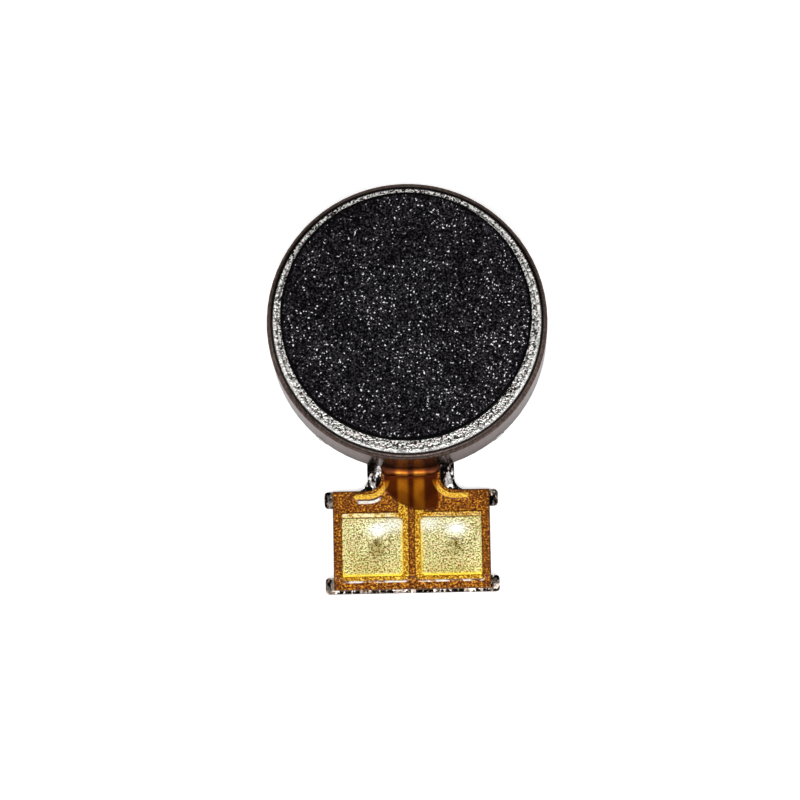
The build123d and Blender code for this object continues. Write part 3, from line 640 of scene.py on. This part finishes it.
MATERIALS = {
    "case": can_steel(),
    "base_plate": plate_steel(),
    "weld_spots": plain("weld_metal", (0.36, 0.35, 0.35), 0.25, 1.0, 0.06, 0.006, 0.3),
    "shaft": plain("pin_steel", (0.68, 0.68, 0.7), 0.15, 1.0, 0.05, 0.0008, 0.05),
    "lower_washer": plain("slip_plastic", (0.78, 0.78, 0.74), 0.45, 0.0, 0.05, 0.001, 0.05),
    "ring_magnet": plain("magnet_nickel", (0.52, 0.5, 0.46), 0.38, 1.0, 0.06, 0.004, 0.12),
    "magnet_glue": plain("glue_film", (0.62, 0.56, 0.36), 0.2, 0.0, 0.3, 0.004, 0.1, Coat_Weight=0.5),
    "flex_base_film": plain("polyimide_film", (0.5, 0.2, 0.03), 0.22, 0.0, 0.1, 0.001, 0.12, Coat_Weight=0.8),
    "trace_left": plain("copper_foil", (0.82, 0.42, 0.2), 0.32, 1.0, 0.05, 0.002, 0.15),
    "brush_left": plain("brush_alloy", (0.78, 0.62, 0.34), 0.25, 1.0, 0.05, 0.001, 0.1),
    "brush_solder": plain("solder_joint", (0.7, 0.71, 0.73), 0.2, 1.0, 0.12, 0.006, 0.12),
    "pad_tape": plain("tape_white", (0.72, 0.72, 0.69), 0.5, 0.0, 0.12, 0.003, 0.06),
    "bearing": plain("bronze_sintered", (0.5, 0.34, 0.16), 0.45, 1.0, 0.035, 0.005, 0.35),
    "rotor_board": board_laminate(),
    "counterweight": plain("tungsten_sintered", (0.28, 0.28, 0.29), 0.4, 1.0, 0.05, 0.006, 0.25),
    "rotor_moulding": plain("resin_black", (0.02, 0.02, 0.024), 0.4, 0.0, 0.12, 0.004, 0.3),
}
SHARED = {  # nodes of the same material
    "upper_washer": "lower_washer",
    "flex_adhesive": "magnet_glue",
    "trace_right": "trace_left",
    "tear_guards": "trace_left",
    "commutator": "trace_left",
    "brush_right": "brush_left",
    "coil_solder": "brush_solder",
}


def dress_cad():
    """Puts a finished material on each CAD node."""
    MATERIALS.update({node: MATERIALS[other] for node, other in SHARED.items()})
    for side in ("left", "right"):
        node = f"coil_{side}"
        low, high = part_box(node)
        MATERIALS[node] = coil_wire(f"wire_{side}", tuple((low + high) / 2 / MM)[:2])
    for node, material in MATERIALS.items():
        for place in nodes[node].material_slots:
            place.material = material


def add_bevel(obj, width):
    """Rounds the sharp edges as a modifier, over the node's own mesh."""
    bevel = obj.modifiers.new("edge", "BEVEL")
    bevel.width = width * MM
    bevel.segments = 3
    bevel.limit_method = "ANGLE"
    bevel.angle_limit = math.radians(40)
    bevel.harden_normals = False


# ---- Pieces of the outside ----
def coverlay():
    """Amber film over the whole circuit, open over the pads and stepped over the copper."""
    def distance(x, y):
        return np.maximum(sd_flex(x, y), -sd_pads(x, y))

    def top(x, y):
        """Sinks beside the copper, least in the loose neck, most behind the pads and by the left guard."""
        lands, guards = sd_lands(x, y), sd_guards(x, y)
        loose = smooth_step(sd_unglued(x, y), -0.05, 0.05)
        behind = smooth_step(-y, 8.85, 9.0)
        drop = 0.004 + loose * (0.012 + 0.022 * behind)
        sink = drop * smooth_step(lands, -0.005, 0.07)
        strip = (0.014 + 0.016 * (x < 0)) * smooth_step(guards, -0.005, 0.06) * (0.1 + 0.9 * loose)
        near_guard = smooth_step(guards, 0.25, 0.05)
        sink = np.where(lands > 0, sink * (1 - near_guard) + strip * near_guard, sink)
        return COVERLAY_TOP - sink - 0.012 * smooth_step(distance(x, y), -0.035, 0)

    obj = sheet("coverlay_film", distance, (-TAIL_HALF, TAIL_HALF), (TAIL_END, FLEX_RADIUS), SHEET_STEP, top,
                FILM_TOP, coverlay_film(), "flex_coverlay")
    x, y, _ = points_mm(obj).T
    corner = (NECK_HALF + FLEX_CORNER, TAIL_TOP + FLEX_CORNER)
    add_value(obj, "copper", sd_lands(x, y))
    add_value(obj, "guard", sd_guards(x, y))
    add_value(obj, "border", sd_flex(x, y))
    add_value(obj, "inward", sd_disc(np.abs(x), y, GUARD_RADIUS, *corner))
    add_value(obj, "unglued", sd_unglued(x, y))


def contact_pad(side, sign, material):
    """Gold pad with the dent that a test probe leaves, with painted highlights above the dent and at the
    pad's upper inner corner, and painted shade in and below it.
    """
    def distance(x, y):
        return np.where(x * sign > 0, sd_pads(x, y) + 0.004, 1.0)

    def near(x, y, dx, dy, wide, tall):
        """1 at a place given from the pad's centre, falling to 0 round it."""
        px, py = x - sign * PAD_MIDDLE - dx, y - (PAD_NEAR + PAD_FAR) / 2 - dy
        return np.exp(-((px / wide) ** 2) - (py / tall) ** 2)

    def top(x, y):
        height = PAD_TOP + 0.0025 * np.sin(2.1 * x + sign) * np.sin(1.7 * y)
        for depth, wide, tall in (DENT_PIT, DENT_DISH):
            height -= depth * near(x, y, *DENT_SHIFT, wide, tall)
        return height - 0.01 * smooth_step(distance(x, y), -0.04, 0)

    x_range = sorted((sign * PAD_IN, sign * PAD_OUT))
    obj = sheet(f"gold_pad_{side}", distance, x_range, (PAD_FAR, PAD_NEAR), SHEET_STEP, top,
                FILM_TOP, material, f"contact_pad_{side}")
    x, y, _ = points_mm(obj).T
    add_value(obj, "border", sd_pads(x, y))
    # Painted light and shade round the dent, stored for the material: highlights above the dent and at the
    # upper inner corner, shade in and below it and over a broad patch lower down.
    painted_highlight = near(x, y, 0.18, 0.62, 0.34, 0.22) + 0.6 * near(x, y, -0.8 * sign, 0.8, 0.4, 0.25)
    painted_shade = near(x, y, 0.16, 0.14, 0.07, 0.11) + 0.65 * near(x, y, 0.2, -0.1, 0.3, 0.25)
    painted_shade += 0.28 * near(x, y, -0.25, -0.75, 0.9, 0.4)
    add_value(obj, "painted_highlight", np.clip(painted_highlight, 0, 0.9))
    add_value(obj, "painted_shade", np.clip(painted_shade, 0, 1))


def bead():
    """Sealant in the exit notch, rising from the circuit to the can's wall in one rounded swell."""
    across, steps = 61, 15
    half = NECK_HALF + 0.02
    low, back = 0.2, 0.19  # its underside, and how far it reaches in through the notch
    verts = []
    for i in range(across):
        x = half * (2 * i / (across - 1) - 1)
        wall = -math.sqrt(CASE_RADIUS**2 - x * x)
        swell = math.sqrt(max(0.0, 1 - abs(x / half) ** 8))
        reach = (wall - BEAD_FOOT + 0.01 * math.sin(5 * x + 1)) * swell + 0.004
        rise = (0.12 + 0.01 * math.sin(7 * x)) * swell + 0.005
        verts.append((x, wall + back, low))
        verts.append((x, wall + back, COVERLAY_TOP + 0.1))
        for j in range(steps):
            t = j / (steps - 1)
            turn = t * math.pi / 2
            height = COVERLAY_TOP - 0.03 + (rise + 0.03) * math.cos(turn) ** 1.3
            verts.append((x, wall - reach * math.sin(turn) ** 0.9, height))
        verts.append((x, wall - reach, low))
    row = steps + 3
    faces = [[i * row + j, i * row + (j + 1) % row, (i + 1) * row + (j + 1) % row, (i + 1) * row + j]
             for i in range(across - 1) for j in range(row)]
    faces += [list(range(row))[::-1], [(across - 1) * row + j for j in range(row)]]
    obj = new_object("sealant_bead", verts, faces, sealant(), "housing")
    obj.data.set_sharp_from_angle(angle=math.radians(60))
    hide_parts("exit_sealant")


def foam():
    """Foam disc, cut a little unevenly, with an eased top edge."""
    around, rings = 288, 70
    ease = 0.05
    turn = np.arange(around) * 2 * math.pi / around
    wobble = 0.006 * np.sin(5 * turn + 1) + 0.004 * np.sin(13 * turn)
    profile = [(r, FOAM_TOP) for r in np.linspace(0.02, FOAM_RADIUS - ease, rings)]
    profile += [(FOAM_RADIUS - ease * (1 - math.sin(a)), FOAM_TOP - ease * (1 - math.cos(a)))
                for a in np.linspace(0, math.pi / 2, 6)[1:]]
    profile += [(FOAM_RADIUS, z) for z in np.linspace(FOAM_TOP - ease, FOAM_LOW + 0.02, 4)[1:]]
    profile += [(FOAM_RADIUS - 0.02, FOAM_LOW), (FOAM_RADIUS - 0.2, FOAM_LOW)]
    verts = []
    for r, z in profile:
        out = r + wobble * (r / FOAM_RADIUS) ** 8
        x, y = out * np.cos(turn), out * np.sin(turn)
        ripple = np.sin(1.3 * x + 0.5) * np.cos(1.7 * y) + np.sin(3.1 * y + x)
        level = z - 0.008 + 0.004 * ripple * (z > FOAM_TOP - 0.01)
        verts.append(np.stack([x + FOAM_CENTRE[0], y + FOAM_CENTRE[1], level], 1))
    loops = len(profile)
    faces = []
    for j in range(loops - 1):
        for i in range(around):
            k = (i + 1) % around
            faces.append([j * around + i, (j + 1) * around + i, (j + 1) * around + k, j * around + k])
    faces.append(list(range(around)))
    faces.append([(loops - 1) * around + i for i in range(around)][::-1])
    obj = new_object("foam_disc", np.vstack(verts), faces, black_foam(), "housing")
    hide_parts("foam_pad")


# ---- Stage ----
CAMERA_TARGET = (-0.340, -2.406, 0.0)
CAMERA_TURN = (5.45, 80.23, -6.56)  # azimuth, elevation and roll in degrees
CAMERA_DISTANCE = 160.0
CAMERA_FOCAL = 5.54875  # in image widths
PANEL_DISTANCE = 0.5  # metres, as are the panels' sizes
PANELS = {  # azimuth, elevation, width, height and radiance
    "key": (0, 64, 0.5, 0.34, 3.2),
    "left": (-80, 42, 0.34, 0.3, 2.4),
    "right": (80, 42, 0.34, 0.3, 2.4),
    "rear": (180, 38, 0.4, 0.22, 2.0),
    "spark": (4, 50, 0.11, 0.05, 26.0),
}


def outward(azimuth, elevation):
    """Direction away from the motor, in radians. Azimuth 0 is in front of the tail."""
    level = math.cos(elevation)
    return Vector((math.sin(azimuth) * level, -math.cos(azimuth) * level, math.sin(elevation)))


def camera():
    """Looks almost straight down, from a little in front of the tail."""
    azimuth, elevation, roll = (math.radians(angle) for angle in CAMERA_TURN)
    back = outward(azimuth, elevation)
    right = Vector((math.cos(azimuth), math.sin(azimuth), 0))
    up = back.cross(right)
    side = right * math.cos(roll) + up * math.sin(roll)
    top = up * math.cos(roll) - right * math.sin(roll)
    data = bpy.data.cameras.new("camera")
    data.sensor_width = 36.0
    data.lens = CAMERA_FOCAL * data.sensor_width
    data.clip_start, data.clip_end = 0.005, 5.0
    obj = bpy.data.objects.new("camera", data)
    turned = Matrix((side, top, back)).transposed().to_4x4()
    place = Vector(CAMERA_TARGET) * MM + back * CAMERA_DISTANCE * MM
    obj.matrix_world = Matrix.Translation(place) @ turned
    bpy.context.scene.collection.objects.link(obj)
    bpy.context.scene.camera = obj


def panel(name, azimuth, elevation, width, height, radiance):
    """Soft light box that faces the motor and doesn't show itself."""
    away = outward(math.radians(azimuth), math.radians(elevation))
    data = bpy.data.lights.new(name, "AREA")
    data.shape = "RECTANGLE"
    data.size, data.size_y = width, height
    data.energy = radiance * width * height * math.pi
    obj = bpy.data.objects.new(name, data)
    turned = away.to_track_quat("Z", "Y").to_matrix().to_4x4()
    obj.matrix_world = Matrix.Translation(away * PANEL_DISTANCE) @ turned
    obj.visible_camera = False
    bpy.context.scene.collection.objects.link(obj)


def floor():
    """White floor just under the motor, lit a little from within."""
    n = Nodes("floor_white")
    shade = n.ramp(n.noise(6.0, 2.0), (0.4, (0.90, 0.90, 0.90)), (0.6, (0.93, 0.93, 0.93)))
    material = n.finish(Base_Color=shade, Roughness=0.9, Specular_IOR_Level=0.1,
                        Emission_Color=(1.0, 1.0, 1.0), Emission_Strength=0.45)
    side = 1.0
    corners = [(-side, -side, 0), (side, -side, 0), (side, side, 0), (-side, side, 0)]
    mesh = bpy.data.meshes.new("floor")
    mesh.from_pydata(corners, [], [(0, 1, 2, 3)])
    obj = bpy.data.objects.new("floor", mesh)
    obj.location.z = -0.02 * MM
    obj.data.materials.append(material)
    bpy.context.scene.collection.objects.link(obj)


def lights():
    """Five panels and a dim, even surround."""
    world = bpy.data.worlds.new("world")
    bpy.context.scene.world = world
    world.use_nodes = True
    surround = world.node_tree.nodes["Background"]
    surround.inputs["Color"].default_value = (0.05, 0.05, 0.053, 1)
    surround.inputs["Strength"].default_value = 1.0
    for name, values in PANELS.items():
        panel(name, *values)


bpy.context.scene.view_settings.view_transform = "Standard"
dress_cad()
add_bevel(nodes["base_plate"], PLATE_EDGE)
coverlay()
pad_material = gold_plate()
contact_pad("left", -1, pad_material)
contact_pad("right", 1, pad_material)
foam()
bead()
floor()
lights()
camera()
